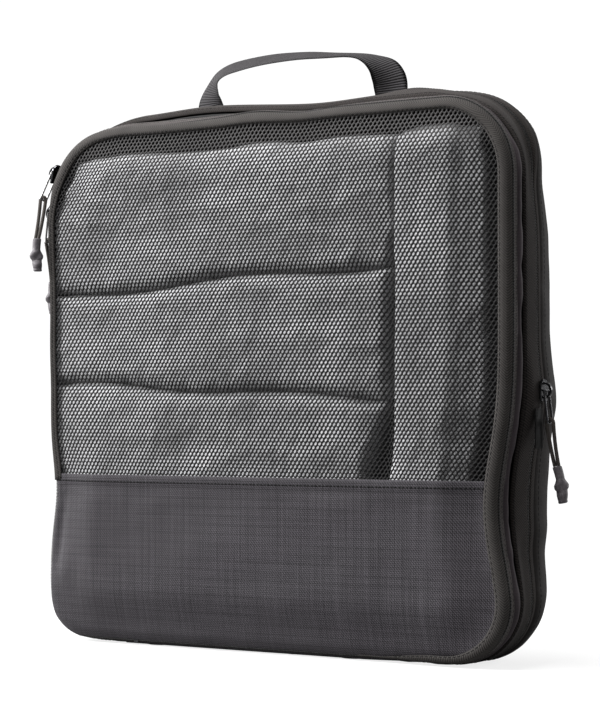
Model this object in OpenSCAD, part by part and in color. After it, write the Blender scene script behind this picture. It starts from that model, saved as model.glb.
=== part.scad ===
// Compression packing cube: a shallow soft case with a zipped mesh front panel,
// an expansion gusset closed by a second zip, and a webbing handle.
// Units are millimetres. +X is to the right, +Y runs from front to back, +Z is up.
// The origin is on the floor, under the middle of the body.

/* [Body] */
// Width of the body across its sides
body_w = 326; // [310:1:340]
// Height of the body without the handle
body_h = 323; // [310:1:340]
// Depth from the front panel to the back panel, compressed
body_d = 76; // [74:1:84]
// Radius of the two upper corners, seen from the front
top_r = 50; // [44:1:54]
// Radius of the two lower corners, seen from the front
bottom_r = 40; // [36:1:46]
// Height at which the back starts to lean forward
lean_start = 190; // [150:1:230]
// How far the back leans forward at the top
back_lean = 9; // [0:1:10]

/* [Fabric] */
// Thickness of the shell fabric with its lining
fabric_t = 1.5; // [1.2:0.1:1.6]
// Thickness of a zip tape
tape_t = 1.3; // [1.0:0.1:1.3]
// Height of the seam between the lower panel and the mesh
seam_z = 101; // [90:1:120]
// Width of the zip tape that frames the front panel
border_w = 13; // [10:1:15]

/* [Zips] */
// Depth of the main zip line behind the front face
main_zip_depth = 11; // [10:1:12]
// Depth of the compression zip line behind the front face
comp_zip_depth = 38; // [37:1:40]
// Width of the slit between two closed tapes
zip_slit = 1.8; // [1.6:0.1:2.0]
// Half the length of the fabric hinge under the front panel
hinge_half = 100; // [90:1:105]
// Height of the lower slider of the main zip
lower_slider_z = 264; // [258:1:264]
// Angle of the upper slider round the upper left corner
upper_slider_angle = 17.5; // [16:0.5:20]
// Height of the compression zip slider
comp_slider_z = 152; // [150:1:170]

/* [Pulls] */
// Length of a wire pull between its two bars
wire_l = 18; // [16:0.5:19]
// Radius of the wire
wire_r = 0.65; // [0.6:0.05:0.7]
// Radius of the pull cord
cord_r = 1.1; // [0.9:0.1:1.1]
// Length of a cord loop below the wire
cord_l = 24; // [20:1:26]

/* [Handle] */
// Width of the handle webbing
strap_w = 20; // [16:1:22]
// Thickness of the handle webbing
strap_t = 1.6; // [1.2:0.1:1.8]

/* [Hidden] */
$fn = 48;

eps = 0.01;
far = 400; // longer than the body in every direction
front_y = -body_d / 2;
back_y = body_d / 2;
panel_y = front_y + fabric_t; // inner face of the front panel
main_zip_y = front_y + main_zip_depth;
comp_zip_y = front_y + comp_zip_depth;
main_tape_w = 10; // frame tape of the main zip
gusset_w = 5; // folded edge of the front gusset
gusset_front_y = main_zip_y + zip_slit / 2 + main_tape_w;
gusset_back_y = gusset_front_y + gusset_w;
rear_band_y = comp_zip_y + 6; // where the rear tape meets the rear band
coil_w = 2.4; // half of the chain
coil_in = 1.5; // the coils sit just inside the tapes
coil_out = 3.7;
binding_t = 1.2;
gusset_t = 1.2;
rear_half_in = 5.8; // the gusset's halves run one inside the other
front_half_in = 7.5;
fold_y = gusset_back_y - 2; // where the front half is sewn in
pivot_n = 2.6; // height of the pull's pivot above the tape
corner_x = -(body_w / 2 - top_r); // centre of the upper left corner
corner_z = body_h - top_r;

fabric_c = [0.20, 0.19, 0.20];
tape_c = [0.16, 0.15, 0.15];
mesh_c = [0.35, 0.35, 0.36];
metal_c = [0.30, 0.30, 0.31];
cord_c = [0.10, 0.10, 0.10];
sleeve_c = [0.33, 0.32, 0.34];

// ---- outlines and rings ----

// The body's outline seen from the front, inset all round.
module outline(inset) {
    half = body_w / 2 - inset;
    top = body_h - inset;
    rt = top_r - inset;
    rb = bottom_r - inset;
    polygon([
        [-half, inset + rb], [-half + rb, inset], [half - rb, inset], [half, inset + rb],
        [half, top - rt], [half - rt, top], [-half + rt, top], [-half, top - rt]
    ]);
    for (side = [-1, 1]) {
        translate([side * (half - rt), top - rt]) circle(rt);
        translate([side * (half - rb), inset + rb]) circle(rb);
    }
}

// The inset outline as a plate from y0 to y1.
module plate(inset, y0, y1) {
    translate([0, y1, 0]) rotate([90, 0, 0]) linear_extrude(y1 - y0) outline(inset);
}

// A band round the body between two insets, from y0 to y1.
module ring(outer, inner, y0, y1) {
    difference() {
        plate(outer, y0, y1);
        plate(inner, y0 - 1, y1 + 1);
    }
}

// Everything in front of the back's inner side, gap behind the back face.
module in_front_of_back(gap) {
    slope = back_lean / (body_h - lean_start);
    above = body_h + 20;
    translate([-far / 2, 0, 0]) rotate([90, 0, 90]) linear_extrude(far) polygon([
        [-far / 2, -20], [back_y - gap, -20], [back_y - gap, lean_start],
        [back_y - gap - slope * (above - lean_start), above], [-far / 2, above]
    ]);
}

// The stretch of the bottom edge where the front panel is hinged, up to height top.
module hinge_zone(top) {
    translate([-hinge_half, front_y - 1, -1]) cube([2 * hinge_half, body_d, top + 1]);
}

// ---- rear shell ----

module back_panel() {
    color(fabric_c) difference() {
        intersection() {
            plate(0, back_y - 30, back_y + 1);
            in_front_of_back(0);
        }
        in_front_of_back(fabric_t);
    }
}

module rear_band() {
    color(fabric_c) intersection() {
        ring(0, fabric_t, rear_band_y, back_y + 1);
        in_front_of_back(fabric_t);
    }
}

module rear_seam_binding() {
    color(tape_c) difference() {
        intersection() {
            ring(fabric_t, 4, back_y - 30, back_y + 1);
            in_front_of_back(fabric_t);
        }
        in_front_of_back(fabric_t + 3);
    }
}

module rear_gusset_half() {
    color(fabric_c) intersection() {
        ring(rear_half_in, rear_half_in + gusset_t, fold_y + gusset_t + 0.5, back_y);
        in_front_of_back(fabric_t);
    }
}

module compression_tape_rear() {
    color(tape_c) ring(0, tape_t, comp_zip_y + zip_slit / 2, rear_band_y);
}

module compression_coil_rear() {
    y0 = comp_zip_y + zip_slit / 2;
    color(cord_c) ring(coil_in, coil_out, y0, y0 + coil_w);
}

// ---- expanding front frame ----

module compression_tape_front() {
    color(tape_c) ring(0, tape_t, gusset_back_y, comp_zip_y - zip_slit / 2);
}

module compression_coil_front() {
    y1 = comp_zip_y - zip_slit / 2;
    color(cord_c) ring(coil_in, coil_out, y1 - coil_w, y1);
}

module front_gusset() {
    color(fabric_c) ring(0, fabric_t, gusset_front_y, gusset_back_y);
}

// The expansion gusset's two halves are folded away one inside the other; they show
// when the compression zip is open.
module front_gusset_half() {
    color(fabric_c) intersection() {
        union() {
            ring(fabric_t, front_half_in + gusset_t, fold_y, fold_y + gusset_t);
            ring(front_half_in, front_half_in + gusset_t, fold_y + gusset_t, back_y);
        }
        in_front_of_back(fabric_t + 0.5);
    }
}

module compression_zip_end_tab() {
    color(tape_c) translate([body_w / 2, comp_zip_y - 9, comp_slider_z - 32]) cube([0.7, 8, 22]);
}

module main_tape_frame() {
    color(tape_c) difference() {
        ring(0, tape_t, main_zip_y + zip_slit / 2, gusset_front_y);
        hinge_zone(tape_t + 1);
    }
}

module main_coil_frame() {
    y0 = main_zip_y + zip_slit / 2;
    color(cord_c) difference() {
        ring(coil_in, coil_out, y0, y0 + coil_w);
        hinge_zone(coil_out + 1);
    }
}

module main_zip_end_stops() {
    for (side = [-1, 1]) {
        color(metal_c) translate([side * (hinge_half - 3) - 1.5, main_zip_y - 1.5, tape_t])
            cube([3, 4, 1.6]);
    }
}

module hinge_strip() {
    color(fabric_c) translate([-hinge_half, panel_y + 0.3, 0])
        cube([2 * hinge_half, gusset_front_y - panel_y - 0.3, tape_t]);
}

// ---- front panel, which opens ----

module main_tape_lid() {
    color(tape_c) difference() {
        union() {
            ring(0, border_w, front_y, panel_y);
            ring(0, tape_t, panel_y - eps, main_zip_y - zip_slit / 2);
        }
        hinge_zone(border_w);
    }
}

module main_coil_lid() {
    y1 = main_zip_y - zip_slit / 2;
    color(cord_c) difference() {
        ring(coil_in, coil_out, y1 - coil_w, y1);
        hinge_zone(coil_out + 1);
    }
}

module mesh_panel() {
    color(mesh_c) intersection() {
        plate(border_w, front_y, panel_y);
        translate([-far / 2, -far / 2, seam_z]) cube(far);
    }
}

module lower_panel() {
    color(fabric_c) union() {
        intersection() {
            plate(border_w, front_y, panel_y);
            translate([-far / 2, -far / 2, seam_z - far]) cube(far);
        }
        translate([-hinge_half, front_y, 0.4]) cube([2 * hinge_half, fabric_t, border_w]);
    }
}

module lid_seam_binding() {
    color(tape_c) difference() {
        ring(border_w - 2, border_w + 2, panel_y, panel_y + binding_t);
        hinge_zone(border_w + 3);
    }
}

module panel_seam_tape() {
    half = body_w / 2 - border_w - 2.2;
    color(tape_c) translate([-half, panel_y, seam_z - 4]) cube([2 * half, 0.8, 8]);
}

// ---- sliders and pulls ----
// Local frame of a slider: +X is away from the tape, +Z along the zip towards its nose,
// and the tape's outer face is at x = 0.

module slider_plate(x0, x1, nose_r, tail_half, tail_z) {
    translate([x0, 0, 0]) rotate([90, 0, 90]) linear_extrude(x1 - x0) union() {
        translate([0, 1.8]) circle(nose_r);
        polygon([[-nose_r, 1.8], [-tail_half, tail_z], [tail_half, tail_z], [nose_r, 1.8]]);
    }
}

module slider() {
    crown_r = 4.6;
    crown_t = 1.2;
    plate_top = 1.6;
    color(metal_c) {
        slider_plate(0.4, plate_top, 4.2, 3.4, -6);
        slider_plate(-5.2, -4.2, 3.7, 3.0, -5.4);
        translate([-4.3, -0.45, 2]) cube([4.8, 0.9, 3]);
        intersection() {
            translate([plate_top, 1.1, 0]) rotate([90, 0, 0]) difference() {
                cylinder(r = crown_r, h = 2.2);
                translate([0, 0, -1]) cylinder(r = crown_r - crown_t, h = 4.2);
            }
            translate([plate_top - 0.1, -2, -6]) cube([6, 4, 12]);
        }
    }
}

// Wire loop hanging from the origin.
module wire_pull() {
    half = 2.9;
    color(metal_c) {
        for (side = [-1, 1]) {
            translate([0, side * half, -wire_l]) cylinder(r = wire_r, h = wire_l);
            for (z = [0, -wire_l]) translate([0, side * half, z]) sphere(wire_r);
        }
        for (z = [0, -wire_l]) {
            translate([0, half, z]) rotate([90, 0, 0]) cylinder(r = wire_r, h = 2 * half);
        }
    }
}

function unit(v) = v / norm(v);

// Rings of a tube along points, with the ring planes held upright to the side vector.
function tube_rings(points, r, sides, side) = [
    for (i = [0:len(points) - 1])
        let (
            a = points[max(i - 1, 0)],
            b = points[min(i + 1, len(points) - 1)],
            t = unit(b - a),
            u = unit(cross(side, t)),
            v = cross(t, u)
        )
        for (k = [0:sides - 1])
            points[i] + r * cos(360 * k / sides) * u + r * sin(360 * k / sides) * v
];

// Faces that close a stack of rings with the same number of points each.
function stack_faces(rings, sides) = concat(
    [for (i = [0:rings - 2]) for (k = [0:sides - 1]) let (n = (k + 1) % sides)
        [i * sides + k, i * sides + n, (i + 1) * sides + n]],
    [for (i = [0:rings - 2]) for (k = [0:sides - 1]) let (n = (k + 1) % sides)
        [i * sides + k, (i + 1) * sides + n, (i + 1) * sides + k]],
    [[for (k = [sides - 1:-1:0]) k]],
    [[for (k = [0:sides - 1]) (rings - 1) * sides + k]]
);

module tube(points, r, sides, side) {
    polyhedron(tube_rings(points, r, sides, side), stack_faces(len(points), sides));
}

// Cord loop round the wire's lower bar at the origin, down to a sleeve mouth at
// drop = [x, y, z]. share runs from 0 at the bar to 1 at the sleeve.
loop_r = 2.0; // the cord's centreline round the bar
mouth_gap = 1.15; // half the spacing of the two strands at the sleeve
strand_shares = [1, 0.8, 0.6, 0.4, 0.2, 0.06];
arc_angles = [180, 150, 120, 90, 60, 30, 0];
function strand(side, share, drop) =
    [side * (loop_r + (mouth_gap - loop_r) * share) + drop.x * share * share,
     drop.y * share, drop.z * share];
function cord_route(drop) = concat(
    [for (s = strand_shares) strand(-1, s, drop)],
    [for (a = arc_angles) [loop_r * cos(a), 0, loop_r * sin(a)]],
    [for (i = [len(strand_shares) - 1:-1:0]) strand(1, strand_shares[i], drop)]
);

module pull_cord(drop) {
    color(cord_c) tube(cord_route(drop), cord_r, 8, [0, 1, 0]);
}

// Moulded sleeve that closes the cord loop, with its knot.
module pull_sleeve(drop, tilt) {
    color(sleeve_c) translate(drop) rotate(tilt) rotate([180, 0, 0]) rotate_extrude() polygon([
        [0, 0], [2.6, 0], [2.9, 0.6], [2.8, 9], [3.4, 10.5], [3.5, 12.5], [2.7, 15],
        [2.6, 16], [3.1, 19], [2.7, 20.5], [0, 20.5]
    ]);
}

// Places a slider's children at each of the three sliders.
module at_upper() {
    translate([corner_x, main_zip_y, corner_z]) rotate([0, upper_slider_angle, 0])
        translate([-top_r, 0, 0]) rotate([0, 0, 180]) children();
}

module at_lower() {
    translate([-body_w / 2, main_zip_y, lower_slider_z]) rotate([0, 0, 180]) children();
}

module at_compression() {
    translate([body_w / 2, comp_zip_y, comp_slider_z]) children();
}

// Each pull hangs from its slider's pivot: lean swings it off the side, cant turns it
// across the zip, so that the two pulls of the main zip hang beside each other.
upper_cant = 15;
lower_lean = 7;
comp_lean = 7;
upper_drop = [1.5, 4, -cord_l];
lower_drop = [1.4, -6, -cord_l];
comp_drop = [2, 4, -cord_l];

module upper_wire_frame() {
    at_upper() translate([pivot_n, 0, 0]) rotate([upper_cant, 0, 0]) children();
}

module lower_wire_frame() {
    at_lower() translate([pivot_n, 0, 0]) rotate([0, -lower_lean, 0]) children();
}

module comp_wire_frame() {
    at_compression() translate([pivot_n, 0, 0]) rotate([0, -comp_lean, 0]) children();
}

// The cords hang from the lower bar, straight down again.
module upper_cord_frame() {
    upper_wire_frame() translate([0, 0, -wire_l])
        rotate([-upper_cant, upper_slider_angle, 0]) children();
}

module lower_cord_frame() {
    lower_wire_frame() translate([0, 0, -wire_l]) rotate([0, lower_lean, 0]) children();
}

module comp_cord_frame() {
    comp_wire_frame() translate([0, 0, -wire_l]) rotate([0, comp_lean, 0]) children();
}

// ---- handle ----
// Each row is [x, z, turn]: turn is the webbing's twist from facing front to lying flat.
strap_y = rear_band_y;
strap_foot_z = body_h + 1;
strap_rows = [
    [-66, 0, 0], [-67, 5, -8], [-66, 11, -28], [-62, 18, -45], [-54, 22.5, -54],
    [-40, 26, -58], [-22, 28.5, -62], [0, 28.5, -68], [20, 27, -74], [38, 25.5, -78],
    [50, 23, -72], [58, 18, -56], [62, 11, -38], [63.5, 5, -22], [63, 0, 0]
];
function strap_point(i) = [strap_rows[i][0], strap_y, strap_foot_z + strap_rows[i][1]];
function strap_section(i) =
    let (
        last = len(strap_rows) - 1,
        t = unit(strap_point(min(i + 1, last)) - strap_point(max(i - 1, 0))),
        across = cross([0, 1, 0], i == 0 ? [0, 0, 1] : i == last ? [0, 0, -1] : t),
        turn = strap_rows[i][2],
        w = cos(turn) * across + sin(turn) * [0, 1, 0],
        n = unit(cross(t, w)),
        p = strap_point(i)
    )
    [for (c = [[-1, -1], [1, -1], [1, 1], [-1, 1]])
        p + c[0] * strap_w / 2 * w + c[1] * strap_t / 2 * n];

module handle_webbing() {
    last = len(strap_rows) - 1;
    color(cord_c) polyhedron(
        [for (i = [0:last]) each strap_section(i)],
        stack_faces(len(strap_rows), 4)
    );
}

module handle_bartacks() {
    for (x = [strap_rows[0][0], strap_rows[len(strap_rows) - 1][0]]) {
        color(cord_c) translate([x - strap_w / 2, strap_y - 1.5, body_h])
            cube([strap_w, 3, 0.4]);
    }
}

back_panel();
rear_band();
rear_seam_binding();
compression_tape_rear();
compression_coil_rear();
handle_bartacks();
handle_webbing();
rear_gusset_half();
front_gusset_half();
compression_tape_front();
compression_coil_front();
compression_zip_end_tab();
front_gusset();
main_tape_frame();
main_coil_frame();
main_zip_end_stops();
hinge_strip();
main_tape_lid();
main_coil_lid();
mesh_panel();
lower_panel();
lid_seam_binding();
panel_seam_tape();
at_upper() slider();  // upper_slider_body
upper_wire_frame() wire_pull();  // upper_wire_pull
upper_cord_frame() pull_cord(upper_drop);  // upper_pull_cord
upper_cord_frame() pull_sleeve(upper_drop, [0, 0, 0]);  // upper_pull_sleeve
at_lower() slider();  // lower_slider_body
lower_wire_frame() wire_pull();  // lower_wire_pull
lower_cord_frame() pull_cord(lower_drop);  // lower_pull_cord
lower_cord_frame() pull_sleeve(lower_drop, [0, 0, 0]);  // lower_pull_sleeve
at_compression() slider();  // compression_slider_body
comp_wire_frame() wire_pull();  // compression_wire_pull
comp_cord_frame() pull_cord(comp_drop);  // compression_pull_cord
comp_cord_frame() pull_sleeve(comp_drop, [0, -12, 0]);  // compression_pull_sleeve
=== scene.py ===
import math

import bpy
import numpy as np
from mathutils import Matrix, Vector, noise


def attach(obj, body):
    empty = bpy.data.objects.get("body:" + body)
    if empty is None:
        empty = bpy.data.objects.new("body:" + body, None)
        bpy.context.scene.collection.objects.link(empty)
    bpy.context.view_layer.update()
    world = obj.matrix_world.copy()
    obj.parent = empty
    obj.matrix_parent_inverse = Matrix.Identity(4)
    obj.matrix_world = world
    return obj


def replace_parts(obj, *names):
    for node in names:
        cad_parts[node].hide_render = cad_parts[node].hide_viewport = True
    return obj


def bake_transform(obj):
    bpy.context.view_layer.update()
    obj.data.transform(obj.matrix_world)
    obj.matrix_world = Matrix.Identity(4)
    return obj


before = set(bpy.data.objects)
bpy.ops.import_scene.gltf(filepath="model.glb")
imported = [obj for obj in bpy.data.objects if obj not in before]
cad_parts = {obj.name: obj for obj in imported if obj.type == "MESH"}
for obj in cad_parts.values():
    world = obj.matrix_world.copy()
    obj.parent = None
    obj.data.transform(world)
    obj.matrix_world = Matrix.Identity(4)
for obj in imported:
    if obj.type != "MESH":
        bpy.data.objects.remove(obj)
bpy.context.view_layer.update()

MM = 0.001

# All shapes below are in millimetres, in the CAD frame: front is -Y, up is +Z.

FRONT_PLANE = -31.5  # where the front panel meets its zip tape
SEAM_Z = 101.0  # seam between the net and the lower panel
CHAIN_Y = -27.0  # main zip
COMP_CHAIN_Y = 0.0  # compression zip


def smooth(t):
    """0 below t = 0, 1 above t = 1, with no kink between."""
    t = np.clip(t, 0.0, 1.0)
    return t * t * (3 - 2 * t)


def rise(value, start, end):
    """0 up to start and 1 from end on, smooth between; end may be the lower of the two."""
    return smooth((value - start) / (end - start))


def bump(x, centre, width):
    """1 at the centre, fading out over the width on both sides."""
    return np.exp(-(((x - centre) / width) ** 2))


# ---- outlines

# points on half of the bottom edge, on a corner, on a side and on the top edge
BOTTOM_N, CORNER_N, SIDE_N, TOP_N = 60, 30, 110, 130


def outline(right, left, bottom, top, top_r, bottom_r, y):
    """Closed path round the body, anticlockwise from the middle of the bottom edge."""

    def line(a, b, n):
        t = np.linspace(0, 1, n, endpoint=False)[:, None]
        return np.array(a) * (1 - t) + np.array(b) * t

    def arc(cx, cz, r, start, n):
        a = np.radians(np.linspace(start, start + 90, n, endpoint=False))
        return np.c_[cx + r * np.cos(a), cz + r * np.sin(a)]

    xz = np.concatenate([
        line((0, bottom), (right - bottom_r, bottom), BOTTOM_N),
        arc(right - bottom_r, bottom + bottom_r, bottom_r, -90, CORNER_N),
        line((right, bottom + bottom_r), (right, top - top_r), SIDE_N),
        arc(right - top_r, top - top_r, top_r, 0, CORNER_N),
        line((right - top_r, top), (top_r - left, top), TOP_N),
        arc(top_r - left, top - top_r, top_r, 90, CORNER_N),
        line((-left, top - top_r), (-left, bottom + bottom_r), SIDE_N),
        arc(bottom_r - left, bottom + bottom_r, bottom_r, 180, CORNER_N),
        line((bottom_r - left, bottom), (0, bottom), BOTTOM_N),
    ])
    return np.c_[xz[:, 0], np.full(len(xz), y), xz[:, 1]]


# Rings of the body from front to back, each: right, left, bottom, top, top radius, bottom radius, y.
# right and left are distances from the middle.
BORDER = (152.5, 153.5, 6.0, 308.2, 37, 34, FRONT_PLANE)
# tape A and B hold the front zip, C and D the compression zip
TAPE_A = [
    BORDER,
    (155.3, 157.8, 4.7, 309.9, 39, 35, -32.0),
    (158.2, 161.4, 3.0, 312.3, 42, 36.5, -31.0),
    (160.0, 163.4, 1.9, 314.3, 44, 38, -29.0),
    (159.3, 162.8, 2.4, 313.7, 43, 37, -28.3),
]
TAPE_B = [
    (157.0, 160.6, 4.2, 311.6, 41, 35, -28.4),
    (157.5, 161.1, 3.8, 312.2, 42, 36, -27.2),
    (158.8, 162.6, 2.6, 313.4, 43, 37, -26.1),
    (160.6, 164.0, 1.4, 315.0, 44, 38, -25.3),
    (161.9, 164.2, 0.9, 316.4, 46, 39, -23.4),
    (162.3, 163.8, 0.6, 317.2, 47, 39, -21.2),
]
STRIP = [
    (161.2, 162.8, 1.2, 314.8, 46, 39, -21.6),
    (163.3, 164.3, 0.5, 316.4, 47, 40, -20.2),
    (163.7, 164.3, 0.3, 316.8, 47, 40, -18.4),
    (162.2, 162.6, 0.8, 315.8, 46, 39, -16.9),
    (158.8, 159.2, 2.8, 313.6, 45, 38, -15.8),
    (157.6, 157.8, 3.6, 312.6, 44, 37, -11.0),
]
TAPE_C = [
    (160.6, 161.0, 1.6, 318.2, 47, 38, -12.4),
    (162.8, 163.0, 0.4, 320.8, 49, 40, -11.9),
    (163.4, 163.4, 0.2, 322.8, 50, 40, -7.0),
    (163.3, 163.3, 0.2, 323.0, 50, 40, -1.2),
    (162.5, 162.5, 0.9, 322.2, 49, 39, -0.7),
]
TAPE_D = [
    (162.5, 162.5, 0.9, 322.2, 49, 39, 0.7),
    (163.3, 163.3, 0.2, 323.0, 50, 40, 1.2),
    (163.2, 163.2, 0.2, 323.0, 50, 40, 3.0),
    (162.6, 162.6, 0.4, 322.6, 50, 40, 5.4),
]
REAR = [
    (162.4, 162.4, 0.8, 322.2, 50, 40, 4.8),
    (163.4, 163.4, 0.0, 323.2, 50, 40, 7.2),
    (163.2, 163.2, 0.0, 323.0, 50, 40, 12.0),
    (161.6, 161.6, 0.6, 321.6, 50, 40, 18.0),
    (158.2, 158.2, 2.8, 318.6, 48, 38, 23.0),
    (153.0, 153.0, 7.0, 314.0, 45, 36, 27.4),
    (146.0, 146.0, 13.5, 307.0, 41, 32, 30.4),
]


def side_shift(x, y, z):
    """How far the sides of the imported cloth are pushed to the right."""
    right, left = rise(x, 60, 120), rise(-x, 60, 155)
    behind_comp_zip = rise(y, -4, 4)
    front = 1 - 0.7 * rise(y, -27, 23)
    waist = 9.5 * bump(z, 88, 42) * front * rise(x, 40, 150)
    left_waists = (4.4 * bump(z, 93, 27) + 2.6 * bump(z, 150, 30) + 1.8 * bump(z, 205, 30)) * left
    border = 6.6 * rise(z, 292, 256) * (1 - 0.4 * rise(z, 150, 100))
    border = border * rise(-x, 120, 150) * rise(x, -166, -156)
    # the right side steps in behind the front zip, bulges by the slider and stands out at the top
    step = 3.2 * rise(y, -28.5, -21.5) * (1 - bump(z, 147, 20) * rise(y, -14, -8))
    foot = 2.2 * rise(z, 78, 60) * rise(y, -14, -6)
    shoulder = 3.4 * bump(z, 279, 28) * rise(y, -14, -3)
    shoulder = shoulder * (1 - 0.6 * behind_comp_zip * rise(z, 256, 300))
    return left_waists - waist - border - (step + foot + shoulder) * right + 2.6 * top_right_corner(x, y, z)


def top_right_corner(x, y, z):
    """1 at the top right corner behind the compression zip, 0 away from it."""
    return rise(x, 96, 140) * rise(z, 262, 302) * rise(y, -4, 4)


def top_shift(x, y, z):
    """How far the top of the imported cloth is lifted."""
    waves = (2.6 * bump(x, -58, 38) * rise(y, -22, -10)
             - 1.5 * bump(x, 22, 30) * rise(y, -27, -19)
             + 3.4 * bump(x, 80, 20) * rise(y, -10, 2)
             - 3.2 * rise(x, 98, 124) * rise(y, -24, -14)
             - 1.4 * rise(-x, 105, 125))
    ripple = 1.6 * bump(y, -26, 6) * (bump(x, -12, 16) - bump(x, 24, 16) - 0.8 * bump(x, -70, 40))
    return 1.8 * top_right_corner(x, y, z) + (waves + ripple) * rise(z, 262, 312)


def settle(p):
    """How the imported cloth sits: pinched sides, a sagging top and a back that leans forward."""
    p = np.array(p, float)
    x, y, z = (p[..., axis].copy() for axis in range(3))
    p[..., 0] += side_shift(x, y, z)
    p[..., 1] -= 15 * rise(z, 190, 320) * np.clip((y - 6) / 32, 0, 1)
    p[..., 2] += top_shift(x, y, z)
    return p


def unit(v):
    """Each vector at length 1."""
    return v / np.maximum(np.linalg.norm(v, axis=-1, keepdims=True), 1e-9)


def square_to(t, v):
    """The part of v at right angles to the unit vectors t, at length 1."""
    return unit(v - (v * t).sum(-1, keepdims=True) * t)


def wrinkle(p, scale, seed):
    """Smooth noise between -1 and 1 at each point of p."""
    flat = np.asarray(p, float).reshape(-1, 3) / scale
    values = [noise.noise(Vector((a, b, c + seed))) for a, b, c in flat]
    return np.array(values).reshape(np.asarray(p).shape[:-1])


def inside_distance(x, z, right, left, bottom, top, top_r, bottom_r):
    """Distance in from a rounded outline; negative outside it."""
    r = np.where(z > (bottom + top) / 2, top_r, bottom_r)
    cx, cz = (right - left) / 2, (bottom + top) / 2
    qx = np.abs(x - cx) - (right + left) / 2 + r
    qz = np.abs(z - cz) - (top - bottom) / 2 + r
    outer = np.hypot(np.maximum(qx, 0), np.maximum(qz, 0)) + np.minimum(np.maximum(qx, qz), 0)
    return r - outer


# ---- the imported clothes

GAP_X = 86.0  # between the left stack and the right column


def upper_fold(x):
    """Height of the gap between the top and the middle garment of the left stack."""
    return 219 + 0.045 * x + 2.2 * np.sin((x + 60) / 26)


def lower_fold(x):
    """Height of the gap between the middle and the low garment."""
    return 151 - 0.045 * x + 1.6 * np.sin((x + 20) / 22)


def bulge(x, z):
    """How far the panel is pushed forward of its border by what is packed behind it."""
    d = inside_distance(x, z, *BORDER[:6])
    full = 6.8 * smooth(d / 30) * (0.78 + 0.22 * bump(x, 0, 120) * bump(z, 170, 110))
    stack = rise(x, GAP_X, GAP_X - 14)
    creases = 2.6 * bump(z, upper_fold(x), 5) + 2.2 * bump(z, lower_fold(x), 5)
    gap = (0.8 + 1.4 * rise(z, 236, 216)) * bump(x, GAP_X, 4.5)
    wedge = 2.4 * bump(x, 80, 11) * rise(z, 150, 124)
    fade = rise(z, SEAM_Z - 4, SEAM_Z + 18)
    return full - (creases * stack + gap + wedge) * fade * smooth(d / 14)


def panel_y(x, z):
    return FRONT_PLANE + 0.9 - bulge(x, z)


# ---- mesh makers


def new_object(name, data):
    o = bpy.data.objects.new(name, data)
    bpy.context.scene.collection.objects.link(o)
    return o


def finish_piece(me, body, material):
    """Put a mesh in the scene as a piece of its own name; body is None for a piece left without a body."""
    me.update()
    me.validate()
    me.polygons.foreach_set("use_smooth", np.ones(len(me.polygons), bool))
    me.materials.append(material)
    o = new_object(me.name, me)
    if body:
        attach(o, body)
    return o


def mesh_of(name, verts, faces, uvs=None):
    """A mesh from points in millimetres; uvs holds one (u, v) in metres per face corner."""
    me = bpy.data.meshes.new(name)
    me.from_pydata((np.asarray(verts, float) * MM).tolist(), [], [list(map(int, f)) for f in faces])
    if uvs is not None:
        layer = me.uv_layers.new(name="cloth")
        layer.data.foreach_set("uv", np.asarray(uvs, np.float32).ravel())
    return me


def grid_normals(p, closed):
    """Unit normals of a grid of points that may close along its rows."""
    along = np.roll(p, -1, 1) - np.roll(p, 1, 1) if closed else np.gradient(p, axis=1)
    across = np.gradient(p, axis=0)
    return unit(np.cross(across, along))


def wall(s, t, half, uv_s, uv_t, flip):
    """Faces and uvs of the strip that closes a sheet along the edge from points s to points t."""
    quad = np.c_[s, t, t + half, s + half]
    uv = np.stack([uv_s, uv_t, uv_t, uv_s], 1)
    return (quad[:, ::-1], uv[:, ::-1]) if flip else (quad, uv)


def sheet_faces(k_n, i_n, u, v, closed):
    """Front, back and edge faces of a sheet of k_n by i_n points, with their uvs."""
    half = k_n * i_n
    span = i_n if closed else i_n - 1
    k, i = (n.ravel() for n in np.meshgrid(np.arange(k_n - 1), np.arange(span), indexing="ij"))
    j = (i + 1) % i_n
    a, b, c, d = k * i_n + i, k * i_n + j, (k + 1) * i_n + j, (k + 1) * i_n + i
    at_a, at_b = np.c_[u[i], v[k]], np.c_[u[i + 1], v[k]]
    at_c, at_d = np.c_[u[i + 1], v[k + 1]], np.c_[u[i], v[k + 1]]
    parts = [
        (np.c_[a, d, c, b], np.stack([at_a, at_d, at_c, at_b], 1)),
        (np.c_[a, b, c, d] + half, np.stack([at_a, at_b, at_c, at_d], 1)),
    ]
    e = np.arange(span)
    for row, flip in ((0, False), (k_n - 1, True)):
        across = np.full(span, v[row])
        parts.append(wall(row * i_n + e, row * i_n + (e + 1) % i_n, half,
                          np.c_[u[e], across], np.c_[u[e + 1], across], flip))
    if not closed:
        g = np.arange(k_n - 1)
        for col, flip in ((0, True), (i_n - 1, False)):
            along = np.full(k_n - 1, u[col])
            parts.append(wall(g * i_n + col, (g + 1) * i_n + col, half,
                              np.c_[along, v[g]], np.c_[along, v[g + 1]], flip))
    faces, uvs = zip(*parts)
    return np.concatenate(faces), np.concatenate(uvs)


BACK_PAINTED_SHADE = 0.1  # painted shade for the back of a cloth that carries painted shade: how light its colour is there


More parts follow.
